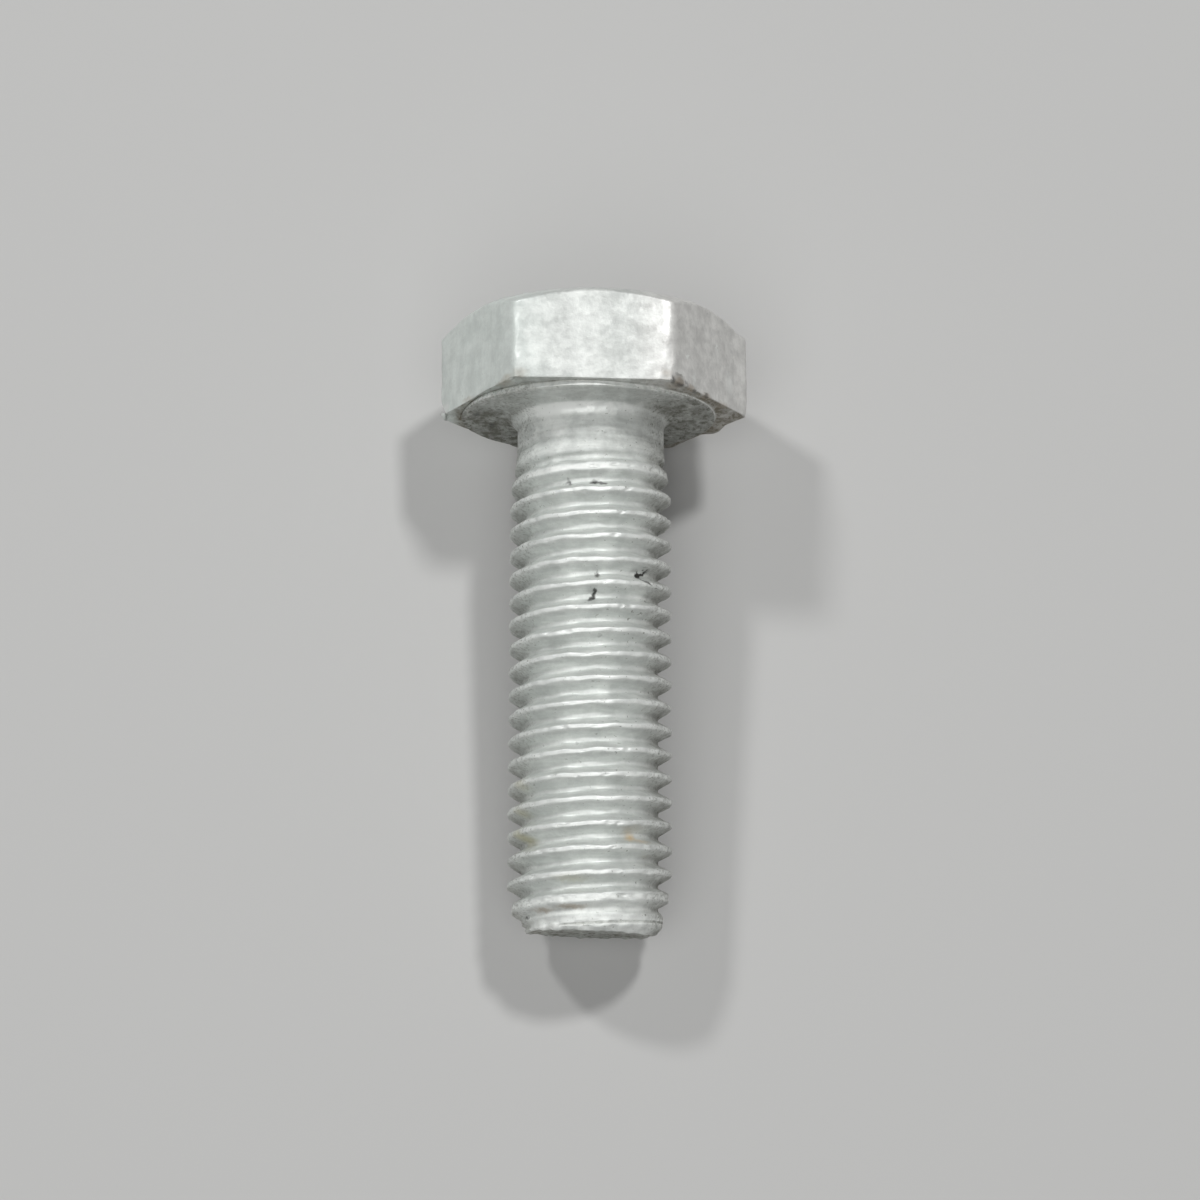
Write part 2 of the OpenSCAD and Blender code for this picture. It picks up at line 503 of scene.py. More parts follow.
def vertex_normals(points, faces):
    """Unit normals of the vertices: the sum of the cross products of each vertex's triangles."""
    a, b, c = points[faces[:, 0]], points[faces[:, 1]], points[faces[:, 2]]
    cross = np.cross(b - a, c - a)
    total = np.zeros_like(points)
    for corner in range(3):
        np.add.at(total, faces[:, corner], cross)
    return total / np.maximum(np.linalg.norm(total, axis=1), 1e-12)[:, None]


def as_forged(points, normals, along, around, size):
    """The true surface of a forged, rolled and dipped bolt: swells of the coat, blunted and drawn
    corners, nicks on the crests, drips in the roots, the lip where the thread starts, a ragged
    point, and runs of zinc under the head. Each adds a height along the normals."""
    x, z = points[:, 0], points[:, 2]
    lag = lag_of(along, around, size)
    off = np.abs(lag) * size.pitch
    # parts of the bolt
    head = before(along, 0.05 - size.washer_height, 0.1)
    neck = band(along, -0.2, 0.4, size.neck_length + 2, 2)
    thread = after(along, size.neck_length + 1, 3)
    crest = thread * before(off, 0.34, 0.2)
    root = thread * after(off, 0.8, 0.2)
    point = after(along, size.shank_length - 6, 3)
    edge = after(along, end_at(around, size) - 0.7, 0.4)
    edge = edge * after(np.hypot(x, z), size.point_r - 0.5, 0.4)
    corner = before(np.cos(6 * around), -0.88, 0.12) * head
    low_corner = corner * after(along, -1.9, 1.6)
    # sides of the bolt
    lower_left = before(x, -4.5, 2) * before(z, 2, 3)
    left, right = before(x, -11, 2), after(x, 11, 2)
    right_side = after(x, 4.5, 2)

    # swells of the coat
    height = 0.03 * head * waves(points, 5, 11)
    height += 0.008 * (1 - crest) * waves(points, 1.3, 12)
    height += 0.016 * neck * before(along, 1.5, 1) * waves(points, 1.1, 13)
    height += 0.016 * crest * waves(points, 1.1, 15)
    height += 0.012 * thread * np.maximum(lower_left, right_side) * waves(points, 0.55, 24)
    # corners of the hexagon
    height -= 0.05 * corner * after(waves(points, 1.6, 19), -0.2, 1.2)
    height -= 0.3 * low_corner * (1 - 0.6 * right + left)
    height += 0.22 * corner * right
    # nicks on the crests, drips in the roots, and the rolled lip
    height -= 0.13 * crest * after(waves(points, 0.9, 14), 1.3 - 0.6 * right_side, 0.6)
    height += 0.22 * root * lower_left * after(waves(points, 1.1, 16), 0.8, 0.9)
    height += 0.07 * start_lip(along, lag, size)
    # the ragged point
    height += 0.02 * point * crest * waves(points, 0.8, 17)
    height += 0.025 * point * (1 - crest) * waves(points * (0.5, 1, 0.5), 0.9, 25)
    height -= 0.11 * point * crest * after(waves(points, 1.6, 22), 0.6, 0.7)
    height -= 0.15 * last_lap(along, around, off, size) * after(waves(points, 1.6, 23), -1.1, 0.9)
    height += 0.06 * edge * waves(points, 1.1, 18)
    # runs of zinc: a drop at the upper right corner, and the thick run below it
    drop = eased(near(points, (7.9, 0.2, 12.2), (2, 0.8, 2)))
    height += 0.2 * drop * eased(-normals[:, 1])
    height += 0.5 * eased(near(points, (12.4, 0.5, -4.9), (2.2, 0.9, 2.6)))
    return points + normals * height[:, None]


def start_lip(along, lag, size):
    """1 along the lip that the rolling raised beside the groove's shallow start, 0 elsewhere."""
    turned = (along - size.neck_length) / size.pitch
    lip = eased(1 - np.abs(lag * size.pitch - 0.68) / 0.24)
    return lip * band(turned, 0.1, 0.25, 1.15, 0.4)


def last_lap(along, around, off, size):
    """1 along the lap that the rolling left in the middle of the last crest, 0 elsewhere."""
    last = after(along, size.shank_length - 1.6, 0.4)
    return last * before(off, 0.17, 0.1) * after(np.cos(around - 0.9), -0.1, 0.5)


def surface_marks(points, normals, along, around, size):
    """What the material reads at each vertex, from 0 to 1: the hexagon, its upper flat, the plain
    shank, the neck, chalky and painted lighter, dirt together with painted shade, scuffed
    edges together with a painted highlight on the washer face's rim, where the dirt is brown,
    and the side of the bolt, from -1 on the left to 1 on the right."""
    x, z = points[:, 0], points[:, 2]
    across = np.maximum(np.hypot(x, z), 1e-3)
    # height around the bolt, from 1 on top to -1 underneath; the right side counts as lower
    height = (z - 0.25 * x) / across
    off = np.abs(lag_of(along, around, size)) * size.pitch
    step_at, length = -size.washer_height, size.shank_length
    washer_r, point_r = size.washer_r, size.point_r
    thread = after(along, size.neck_length + 1, 3)
    crest = thread * before(off, 0.36, 0.2)
    head = before(along, step_at + 0.12, 0.15)
    end_face = before(across, point_r - 0.1, 0.25) * after(along, length - 0.3, 0.2)

    # dirt and painted shade in the step between hexagon and washer face, more on the lower sides,
    # which the left corner has less of, and a line of painted shade in the crevice where the
    # washer face meets the hexagon
    step = band(along, step_at - 0.12, 0.1, -0.28, 0.08) * after(across, washer_r - 0.3, 0.2)
    step = step * (0.38 + 0.5 * before(height, 0.85, 0.5)) * (1 - 0.8 * before(x, -13, 1))
    crevice = band(across, washer_r - 0.05, 0.05, washer_r + 0.3, 0.2)
    crevice = crevice * band(along, -0.5, 0.05, -0.34, 0.04)
    # painted shade on the washer face and the neck below it, strongest low down and a little all
    # round the washer face, more on its left, and a little darkening on top of the run-out, more
    # to the right
    under_head = np.maximum(before(height, 1, 0.8), 0.3 * before(along, 0.35, 0.3))
    under_head = under_head * band(along, -0.3, 0.3, 2.4, 1.2)
    under_head = under_head * (0.35 + 0.5 * before(along, 0.5, 0.4))
    under_head += 0.25 * band(along, -0.3, 0.3, 0.6, 0.3) * before(x, -5, 3)
    runout = band(along, 2.6, 0.8, 6, 1.5) * after(x, -3, 6)
    # painted shade down the shank's lower sides, in the roots on the right and on the end face,
    # darker towards its bottom, and dirt in the lap of the last crest
    low = np.maximum(before(height, 0.6, 0.8), 0.8 * before(z / across, 0.72, 0.7))
    lower_side_shade = after(along, 2, 3) * low * (1 - 0.6 * crest) * (1 - end_face)
    root = thread * after(off, 0.6, 0.3) * after(x, 4.5, 2)
    end_face_shade = end_face * (0.76 - 0.22 * z / point_r)
    lap = last_lap(along, around, off, size)
    grime_and_shade = (
        step + 0.25 * crevice + under_head + 0.12 * runout + 0.58 * lower_side_shade + 0.18 * root
        + end_face_shade + 0.4 * lap
    )
    brown = step + 0.6 * after(along, length - 20.8, 8) * before(x, -3, 3)

    # the neck, chalky and painted lighter where the head shades it, with a painted highlight on
    # its left; the plain shank with its rougher coat; and what is scuffed bright, with a painted
    # highlight along the top of the washer face's rim
    neck = band(along, 0.1, 0.3, 1.9, 0.8) * after(height, 0.5, 0.4)
    neck += 0.6 * band(along, 1.2, 0.8, 4.2, 1.2) * eased(-x / 3)
    point = after(along, length - 2.2, 0.5) * after(across, point_r - 0.2, 0.3)
    plain = (0.6 * before(along, 9, 3) + 0.4 * before(along, 6, 2)) * after(along, 0.8, 2.2)
    plain = (1 - head) * (plain + 0.6 * point + 0.6 * crest * after(along, length - 6.3, 2))
    # painted highlight along the top of the washer face's rim, which the hexagon shades
    rim = band(along, -0.4, 0.06, 0.05, 0.05) * after(across, washer_r - 0.7, 0.4)
    rim = rim * (1 - 0.8 * before(height, 0.45, 0.5))
    marks = {
        "head": head,
        "top_flat": head * after(normals[:, 2], 0.9, 0.06),
        "plain": plain,
        "neck": neck,
        "grime_and_shade": grime_and_shade,
        "worn": 0.6 * crest + 1.2 * rim + 0.4 * point,
        "brown": 0.25 * brown,
    }
    marks = {name: np.clip(value, 0, 1) for name, value in marks.items()}
    marks["side"] = np.clip(x / (size.across_flats / 2), -1, 1)
    return marks


# Sizes that are not lengths
NOT_LENGTHS = ("chamfer_angle", "runout_turns")


def bolt_sizes(props):
    """The sizes, with lengths in millimetres, and the radii that follow from them: the thread is
    rolled on a neck of about its pitch diameter."""
    size = SimpleNamespace(**{
        name: getattr(props, name) / (1 if name in NOT_LENGTHS else MM)
        for name in BoltSizes.__annotations__
    })
    size.neck_r = size.thread_diameter / 2 - 0.3 * size.pitch
    size.point_r = size.thread_diameter / 2 - size.point_inset
    size.washer_r = size.across_flats / 2 - size.washer_inset
    # the thread's own rows of the mesh begin a little below the fillet
    size.rows_start = size.fillet_radius + 0.4
    return size


def set_forward(along, across, size):
    """How far the surface stands towards the point from its standard place: the washer face by
    WASHER_PROUD, easing off down the fillet, and the hexagon's lower edge more on the right and
    most at the left corner, which droops."""
    edge = np.clip(0.1 + 0.02 * across, 0, 0.25) + CORNER_DROOP * before(across, -10, 3.2)
    edge = edge * after(along, -2, 1.6)
    washer = WASHER_PROUD * before(along, 2.2, 2.2)
    return edge + (washer - edge) * after(along, -size.washer_height, 0.25)


def bolt_mesh(size):
    """The bolt's mesh in metres, lying in its place, with the marks as attributes."""
    radius, along, around, faces = bolt_surface(size)
    # the hexagon was forged a little to one side, and the washer face to the other
    washer_h = size.washer_height
    shift = HEXAGON_SHIFT * before(along, 0.1 - washer_h, 0.2)
    shift -= WASHER_SHIFT * band(along, -washer_h - 0.05, 0.1, 1.2, 1.2)
    across = radius * np.sin(around) + shift
    upright = np.stack([
        across, -along - set_forward(along, across, size), radius * np.cos(around),
    ], axis=1)
    normals = vertex_normals(upright, faces)
    points = as_forged(upright, normals, along, around, size)
    lying = np.array(Matrix.Rotation(TILT, 3, "X")) * MM
    points = points @ lying.T
    points[:, 2] = np.maximum(points[:, 2], CAD_BOX[0].z)

    mesh = bpy.data.meshes.new("bolt_zinc")
    mesh.from_pydata(points.tolist(), [], faces.tolist())
    mesh.shade_smooth()
    for name, value in surface_marks(upright, normals, along, around, size).items():
        mesh.attributes.new(name, "FLOAT", "POINT").data.foreach_set("value", value)
    mesh.validate()
    return mesh


# ---- Materials -----------------------------------------------------
class Recipe:
    """Puts nodes in a material or world, and joins an output given as an input's value."""

    def __init__(self, holder):
        holder.use_nodes = True
        self.tree = holder.node_tree
        self.tree.nodes.clear()

    def put(self, kind, values=None, **settings):
        node = self.tree.nodes.new(kind)
        for name, setting in settings.items():
            setattr(node, name, setting)
        for name, value in (values or {}).items():
            socket = node.inputs[name]
            if isinstance(value, bpy.types.NodeSocket):
                self.tree.links.new(value, socket)
            else:
                socket.default_value = value
        return node

    def math(self, operation, a, b=0, clamp=False):
        node = self.put("ShaderNodeMath", {0: a, 1: b}, operation=operation, use_clamp=clamp)
        return node.outputs[0]

    def times(self, first, *others):
        for other in others:
            first = self.math("MULTIPLY", first, other)
        return first

    def plus(self, first, *others):
        for other in others:
            first = self.math("ADD", first, other)
        return first

    def rise(self, value, low, high, to_low=0, to_high=1):
        """From to_low, where the value is low, to to_high, where it is high, eased between."""
        node = self.put("ShaderNodeMapRange", {
            "Value": value, "From Min": low, "From Max": high, "To Min": to_low, "To Max": to_high,
        }, interpolation_type="SMOOTHSTEP")
        return node.outputs[0]

    def mix(self, factor, a, b, blend="MIX"):
        values = {0: factor, 6: a, 7: b}
        return self.put("ShaderNodeMix", values, data_type="RGBA", blend_type=blend).outputs[2]

    def noise(self, place, scale, detail, rough, distortion=0):
        node = self.put("ShaderNodeTexNoise", {
            "Vector": place, "Scale": scale, "Detail": detail, "Roughness": rough,
            "Distortion": distortion,
        })
        return node.outputs[0]

    def vector(self, operation, values, output="Vector"):
        return self.put("ShaderNodeVectorMath", values, operation=operation).outputs[output]

    def stretch(self, place, scale):
        return self.put("ShaderNodeMapping", {"Vector": place, "Scale": scale}).outputs[0]

    def attribute(self, name):
        return self.put("ShaderNodeAttribute", attribute_name=name).outputs["Fac"]

    def spot(self, place, centre, reach, turn, hard):
        """1 inside an ellipsoid and 0 outside it, turned in the plane seen from above."""
        local = self.put("ShaderNodeMapping", {
            "Vector": place, "Location": centre, "Rotation": (0, 0, turn), "Scale": reach,
        }, vector_type="TEXTURE").outputs[0]
        return self.rise(self.vector("LENGTH", {0: local}, "Value"), 1, hard)


def rgba(value):
    return (*value, 1)


# How far the surface's height swings under the finish, in metres
BUMP = 0.025 * MM
# Half the height of a mark, in millimetres: it paints only the surface near its place
MARK_DEPTH = 1.6
# Marks on the coat: place (x, y, z) in millimetres with the bolt lying level, half width, half
# length, turn in degrees, how hard the edge is (0 to 1), and how strong the mark is
SOOT_MARKS = (
    (-2.25, -8.22, 7.3, 0.72, 0.31, 0, 0.45, 0.85),
    (-2.1, -8.1, 7.3, 0.29, 0.65, 15, 0.45, 0.7),
    (0.35, -8.22, 7.5, 0.78, 0.44, 5, 0.45, 0.95),
    (1.05, -8.4, 7.5, 0.78, 0.31, -8, 0.45, 0.85),
    (0.6, -17.35, 7.3, 0.34, 0.55, 0, 0.45, 0.8),
    (5.05, -16.75, 4.9, 0.98, 0.26, 32, 0.45, 1),
    (4.5, -17.15, 4.9, 0.31, 0.65, 10, 0.45, 1),
    (5.25, -17.85, 5, 1.1, 0.16, -22, 0.45, 0.75),
    (0.3, -19.3, 7.3, 0.31, 0.55, -25, 0.45, 0.95),
    (0.1, -19.7, 7.3, 0.65, 0.29, 30, 0.45, 0.9),
    (-1.27, -33.65, 7.5, 0.24, 0.34, 0, 0.4, 0.5),
    (0.9, -23.5, 7.5, 0.3, 0.25, 0, 0.1, 0.35),
    (7.3, -46.2, 2.8, 0.4, 0.35, 0, 0.3, 0.7),
    (-5.9, -49.9, 2.6, 0.25, 0.25, 0, 0.5, 0.6),
    (-11.25, 0, 1.9, 0.45, 0.5, 0, 0.2, 0.6),
    (-9.94, 0, -2.1, 0.55, 0.5, 0, 0.2, 0.6),
    (-8.12, 0, -1.5, 0.6, 0.5, 0, 0.2, 0.6),
    (11.17, 0.3, 7.5, 0.3, 0.35, 0, 0.3, 0.6),
    (8.5, 0.4, 12.2, 1.1, 0.85, 0, 0, 0.45),
    (7.8, 0.4, 12.6, 0.34, 0.7, 0, 0.1, 0.7),
    (8.6, 0, 12, 0.9, 0.3, 0, 0.1, 0.65),
    (9.15, 0.4, 11.7, 0.26, 0.5, 0, 0.1, 0.6),
    (8.45, 0.95, 12.2, 0.6, 0.22, 0, 0.1, 0.45),
    (10, 0.15, 9.2, 0.3, 0.25, 0, 0.2, 0.5),
    (12.17, 2.8, 5.8, 0.08, 0.6, 0, 0.2, 0.3),
)
EARTH_MARKS = (
    (8.5, 0.4, 12.2, 0.95, 0.75, 0, 0.1, 0.5),
    (7.95, 0.2, 11.5, 1.2, 0.6, 0, 0.2, 0.4),
    (9.53, 0.3, 10.1, 1, 0.4, 0, 0.1, 0.45),
    (11.2, 0.3, 7.3, 0.8, 0.4, 0, 0.2, 0.4),
    (12.9, 0.3, 4, 1.2, 0.35, 0, 0.1, 0.3),
    (7.15, 0.87, 13.25, 0.9, 0.6, 0, 0, 0.3),
    (-6.97, 0.85, 13.25, 1.3, 0.8, 0, 0, 0.3),
    (-8.09, 0.67, 12.1, 0.9, 0.6, 0, 0, 0.4),
    (-8.54, 0.4, 10.9, 1.6, 0.45, 0, 0, 0.35),
    (-12.06, 0.46, 5.3, 1.5, 0.35, 0, 0.1, 0.3),
    (-1.8, -49.2, 6.8, 2.4, 0.36, 0, 0, 0.6),
    (-4.4, -49.4, 5.2, 2, 0.36, 0, 0, 0.6),
    (-5.2, -49.8, 5.6, 0.9, 0.4, 0, 0.1, 0.5),
    (5.9, -44.3, 4.8, 1.4, 0.35, 0, 0, 0.4),
)
STAIN_MARKS = (
    (-6.4, -37.3, 3.8, 1.9, 0.9, 0, 0, 0.35),
    (-6.5, -40, 3.6, 1.9, 0.9, 0, 0, 0.4),
    (-6.1, -42.4, 3.6, 3.2, 1.3, 0, 0, 0.65),
    (-1.6, -46.5, 6.8, 2.8, 0.6, 0, 0, 0.35),
)
RUST_MARKS = (
    (3.76, -42.6, 5.9, 0.8, 0.7, 0, 0.1, 0.55),
    (3.85, -42.5, 5.9, 0.4, 0.4, 0, 0.1, 0.5),
    (4.7, -42.9, 5.4, 1.6, 0.45, 0, 0, 0.35),
)
SCRATCHES_AND_HIGHLIGHTS = (
    (9.26, 3.3, 10.8, 0.09, 0.55, -6, 0.2, 0.8),
    (12.33, 5.7, 5.5, 0.09, 0.55, 0, 0.2, 0.7),
    (9.96, 1.32, 9.6, 0.3, 0.9, 0, 0, 0.6),
    (13.6, 2.6, 3.2, 0.9, 1.7, 0, 0, 0.5),
    # a pale patch at the hexagon's left lower corner, a painted highlight
    (-14.4, 0.6, 0.9, 1.1, 0.9, 0, 0, 0.85),
    (13.4, 0.3, -5.1, 0.6, 0.6, 0, 0.1, 0.6),
    (10.7, 0, -0.8, 0.4, 0.5, 0, 0.1, 0.4),
)


def marked(r, place, colour, table, paint):
    """Paints each mark of the table on the colour."""
    for x, y, z, half_width, half_length, turn, hard, strength in table:
        reach = (half_width, half_length, MARK_DEPTH)
        spot = r.spot(place, (x, y, z), reach, math.radians(turn), hard)
        colour = r.mix(r.times(spot, strength), colour, rgba(paint))
    return colour


def coat_readings(r):
    """What the layers of the finish share: the place in millimetres with the bolt lying level,
    the marks made with the mesh, the bolt's left and right side, and noise of three sizes."""
    coordinates = r.put("ShaderNodeTexCoord").outputs["Object"]
    place = r.put("ShaderNodeMapping", {
        "Vector": coordinates, "Rotation": (-TILT, 0, 0), "Scale": (1 / MM,) * 3,
    }).outputs[0]
    names = ("head", "top_flat", "plain", "neck", "grime_and_shade", "worn", "brown", "side")
    coat = SimpleNamespace(place=place, **{name: r.attribute(name) for name in names})
    coat.left, coat.right = r.rise(coat.side, -0.2, -0.6), r.rise(coat.side, 0.2, 0.6)
    coat.grain = r.noise(place, 2.6, 4, 0.65)
    coat.flecks = r.noise(place, 0.9, 3, 0.6, 0.2)
    coat.blotches = r.noise(r.stretch(place, (0.42, 0.65, 0.42)), 1, 3, 0.6, 0.2)
    return coat


def clouded(r, coat, finish):
    """Clouds of bright and dull zinc, cooler on the bolt's left and warmer on its right."""
    clouds = r.rise(r.noise(coat.place, 0.42, 4, 0.6, 0.4), 0.34, 0.66)
    spread = r.times(r.math("SUBTRACT", clouds, 0.5), r.rise(coat.head, 0, 1, 0.6, 0.9))
    colour = r.mix(r.plus(spread, 0.5), rgba(finish.dull), rgba(finish.bright))
    cast = r.rise(coat.head, 0, 1, 0.25, 0.75)
    colour = r.mix(r.times(coat.left, cast), colour, rgba(finish.cool))
    return r.mix(r.times(coat.right, cast), colour, rgba(finish.warm))


def toned(r, coat, colour):
    """The colour made lighter and darker by streaks, which run along the hexagon and around the
    shank, by grain and blotches, and by flecks on the right side and the plain shank. The upper
    flat is painted darker, a painted shade that tones down the strong light on top."""
    along = r.noise(r.stretch(coat.place, (0.9, 0.3, 0.9)), 1, 4, 0.65)
    around = r.noise(r.stretch(coat.place, (0.35, 3.2, 0.35)), 1, 4, 0.6)
    streaks = r.put("ShaderNodeMix", {
        0: coat.head,
        2: r.rise(around, 0.3, 0.7, 0.92, 1.07),
        3: r.rise(along, 0.3, 0.7, 0.935, 1.055),
    }).outputs[0]
    grain = r.rise(coat.grain, 0.25, 0.75, 0.95, 1.05)
    # painted shade: the upper flat is made darker to tone down the strong light on it
    upper = r.rise(coat.top_flat, 0, 1, 1, 0.83)
    blotches = r.rise(coat.blotches, 0.35, 0.65, 0.96, 1.04)
    flecks = r.rise(coat.flecks, 0.35, 0.65, -0.08, 0.09)
    uneven = r.times(r.math("MAXIMUM", coat.right, coat.plain), flecks)
    tone = r.times(streaks, grain, upper, blotches, r.plus(uneven, 1))
    grey = r.put("ShaderNodeCombineColor", {0: tone, 1: tone, 2: tone}).outputs[0]
    return r.mix(1, colour, grey, "MULTIPLY")


def chalked_and_highlit(r, coat, finish, colour):
    """Chalk, most of it on the upper flat and the neck, in soft blotches with small white flecks
    in them, where on the neck it is painted light as well, and on the scuffed crests and the
    point, with a painted highlight on the washer face's rim."""
    blotches = r.rise(coat.blotches, 0.38, 0.64, 0.05, 0.6)
    flecks = r.rise(coat.flecks, 0.5, 0.68, 0, 0.4)
    upper = r.rise(coat.top_flat, 0, 1, 0.1, 0.5)
    # on the neck this is painted light as well as a chalky coat
    where = r.plus(upper, r.rise(coat.neck, 0, 1, 0, 1.25))
    chalk_and_highlight = r.times(r.plus(blotches, flecks), where)
    chalk_and_highlight = r.math("ADD", chalk_and_highlight, r.times(coat.neck, 0.25), clamp=True)
    colour = r.mix(chalk_and_highlight, colour, rgba(finish.chalk_and_highlight))
    # scuffed crests and point, and a painted highlight along the washer face's rim
    rubbed_and_highlit = r.rise(coat.flecks, 0.35, 0.6, 0.4, 0.95)
    rubbed_and_highlit = r.math("MULTIPLY", coat.worn, rubbed_and_highlit, clamp=True)
    return r.mix(rubbed_and_highlit, colour, rgba(finish.chalk_and_highlight))


def dirt_and_shade_cover(r, coat):
    """How far dirt and painted shade cover the coat: the mesh's marks of both, broken up by noise
    of three sizes.
    """
    drawn_up = r.stretch(coat.place, (1, 1, 0.5))
    patches = r.rise(r.noise(coat.place, 0.55, 4, 0.62), 0.3, 0.62, 0.4, 0.75)
    mottle = r.rise(r.noise(drawn_up, 1.6, 3, 0.6), 0.3, 0.7, 0, 0.35)
    fine = r.rise(r.noise(drawn_up, 2.6, 3, 0.6), 0.5, 0.66, 0, 0.35)
    return r.math("MULTIPLY", coat.grime_and_shade, r.plus(patches, mottle, fine), clamp=True)


def dirtied_and_shaded(r, coat, finish, colour, dirt):
    """Dirt and painted shade, grey or brown, then specks, fewer on the head and in the middle,
    then grit on the outer ends of the turns, to the left and right."""
    # the dirt cover carries painted shade as well as dirt
    colour = r.mix(dirt, colour, r.mix(coat.brown, rgba(finish.grime_and_shade), rgba(finish.earth)))
    specks = r.rise(r.noise(coat.place, 2.6, 2, 0.5), 0.66, 0.74)
    off_head = r.rise(coat.head, 0, 1, 1, 0.25)
    right = r.rise(coat.side, -0.15, 0.5, 0.3, 0.75)
    sides = r.plus(right, r.rise(coat.side, -0.3, -0.5, 0, 0.3))
    colour = r.mix(r.times(specks, off_head, sides), colour, rgba(finish.grime_and_shade))
    grit = r.rise(r.noise(coat.place, 3.4, 2, 0.6), 0.5, 0.64)
    outer = r.rise(r.math("ABSOLUTE", coat.side), 0.34, 0.5)
    on_shank = r.rise(coat.head, 0, 1, 0.38, 0)
    return r.mix(r.times(grit, outer, on_shank), colour, rgba(finish.grime_and_shade))


def ragged(r, place):
    """The place, pushed about by noise, so that what is painted by it gets ragged edges."""
    noise = r.put("ShaderNodeTexNoise", {"Vector": place, "Scale": 2.4, "Detail": 2})
    push = r.vector("SUBTRACT", {0: noise.outputs[1], 1: (0.5, 0.5, 0.5)})
    return r.vector("MULTIPLY_ADD", {0: push, 1: (0.7, 0.5, 0), 2: place})


def galvanised_zinc(finish):
    """Hot-dip zinc: clouded and streaked grey with a fine grain, painted darker on the upper flat,
    chalky patches, painted light on the neck, pale scuffed crests, a painted highlight on the
    washer face's rim, dirt where it gathers together with painted shade under the head, down the
    lower sides and on the end face, and the coat's own marks, one of them a painted highlight at
    the hexagon's left lower corner. It is rougher under the dirt and the painted shade, and on the
    plain shank."""
    material = bpy.data.materials.new("galvanised_zinc")
    r = Recipe(material)
    coat = coat_readings(r)
    # the dirt cover holds painted shade as well as dirt
    dirt = dirt_and_shade_cover(r, coat)
    colour = chalked_and_highlit(r, coat, finish, toned(r, coat, clouded(r, coat, finish)))
    colour = dirtied_and_shaded(r, coat, finish, colour, dirt)
    place = ragged(r, coat.place)
    for table, paint in (
        (EARTH_MARKS, finish.earth), (STAIN_MARKS, finish.stain), (RUST_MARKS, finish.rust),
        (SCRATCHES_AND_HIGHLIGHTS, finish.chalk_and_highlight), (SOOT_MARKS, finish.soot),
    ):
        colour = marked(r, place, colour, table, paint)

    bumps = r.plus(r.noise(coat.place, 1.3, 3, 0.55), r.times(coat.grain, 0.4))
    normal = r.put("ShaderNodeBump", {"Strength": 1, "Distance": BUMP, "Height": bumps})
    rough = r.plus(r.rise(coat.grain, 0.3, 0.7, 0.38, 0.5), r.times(dirt, 0.3))
    shader = r.put("ShaderNodeBsdfPrincipled", {
        "Base Color": colour,
        "Metallic": 0.35,
        "Roughness": r.math("ADD", rough, r.times(coat.plain, 0.24), clamp=True),
        "Normal": normal.outputs[0],
    })
    r.put("ShaderNodeOutputMaterial", {"Surface": shader.outputs[0]})
    return material


# Distances in metres over which the floor runs into the backdrop
FADE_FROM, FADE_TO = 0.12, 0.45


def matt_floor(colour, backdrop):
    """Plain matt floor paper, which runs into the backdrop's colour far from the bolt."""
    material = bpy.data.materials.new("matt_floor")
    r = Recipe(material)
    paper = r.put("ShaderNodeBsdfPrincipled", {
        "Base Color": rgba(colour), "Roughness": 0.9, "Specular IOR Level": 0.15,
    })
    far = r.put("ShaderNodeEmission", {"Color": rgba(backdrop), "Strength": 1})
    place = r.put("ShaderNodeTexCoord").outputs["Object"]
    away = r.vector("LENGTH", {0: place}, "Value")
    share = r.times(r.rise(away, FADE_FROM, FADE_TO), seen_directly(r))
    shader = r.put("ShaderNodeMixShader", {0: share, 1: paper.outputs[0], 2: far.outputs[0]})
    r.put("ShaderNodeOutputMaterial", {"Surface": shader.outputs[0]})
    return material


def seen_directly(r):
    """1 for the camera's rays and for those that metal or glass sends on, 0 for the others."""
    path = r.put("ShaderNodeLightPath").outputs
    seen = r.math("MAXIMUM", path["Is Camera Ray"], path["Is Transmission Ray"])
    return r.math("MAXIMUM", seen, path["Is Glossy Ray"])


# ---- Operators -----------------------------------------------------
# Half the width of the floor, in metres
FLOOR_REACH = 2
# Each lamp's direction from the bolt, and its diameter in lamp sizes
LAMPS = (
    ("right_lamp", (0.325, 0.413, 1), 1),
    ("left_lamp", (-0.596, 0.604, 1), 1),
    ("front_lamp", (-0.1, -0.5, 1), 8),
)


class BOLT_OT_make_bolt(bpy.types.Operator):
    """Make the galvanised bolt in place of the plain frame node"""

    bl_idname = "bolt.make_bolt"
    bl_label = "Make bolt"

    def execute(self, context):
        mesh = bolt_mesh(bolt_sizes(context.scene.bolt_sizes))
        if not len(mesh.polygons):
            raise RuntimeError("the bolt's surface came out empty")
        mesh.materials.append(galvanised_zinc(context.scene.zinc_finish))
        bolt = bpy.data.objects.new("bolt_zinc", mesh)
        context.scene.collection.objects.link(bolt)
        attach(bolt, "root")
        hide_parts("bolt")
        return {"FINISHED"}


class BOLT_OT_set_stage(bpy.types.Operator):
    """Lay the floor and set the lamps, the world and the camera"""

    bl_idname = "bolt.set_stage"
    bl_label = "Set stage"

    def execute(self, context):
        stage = context.scene.studio_stage
        lay_floor(context, stage)
        for name, heading, breadth in LAMPS:
            hang_lamp(context, stage, name, heading, breadth)
        light_world(context, stage)
        place_camera(context, stage)
        return {"FINISHED"}


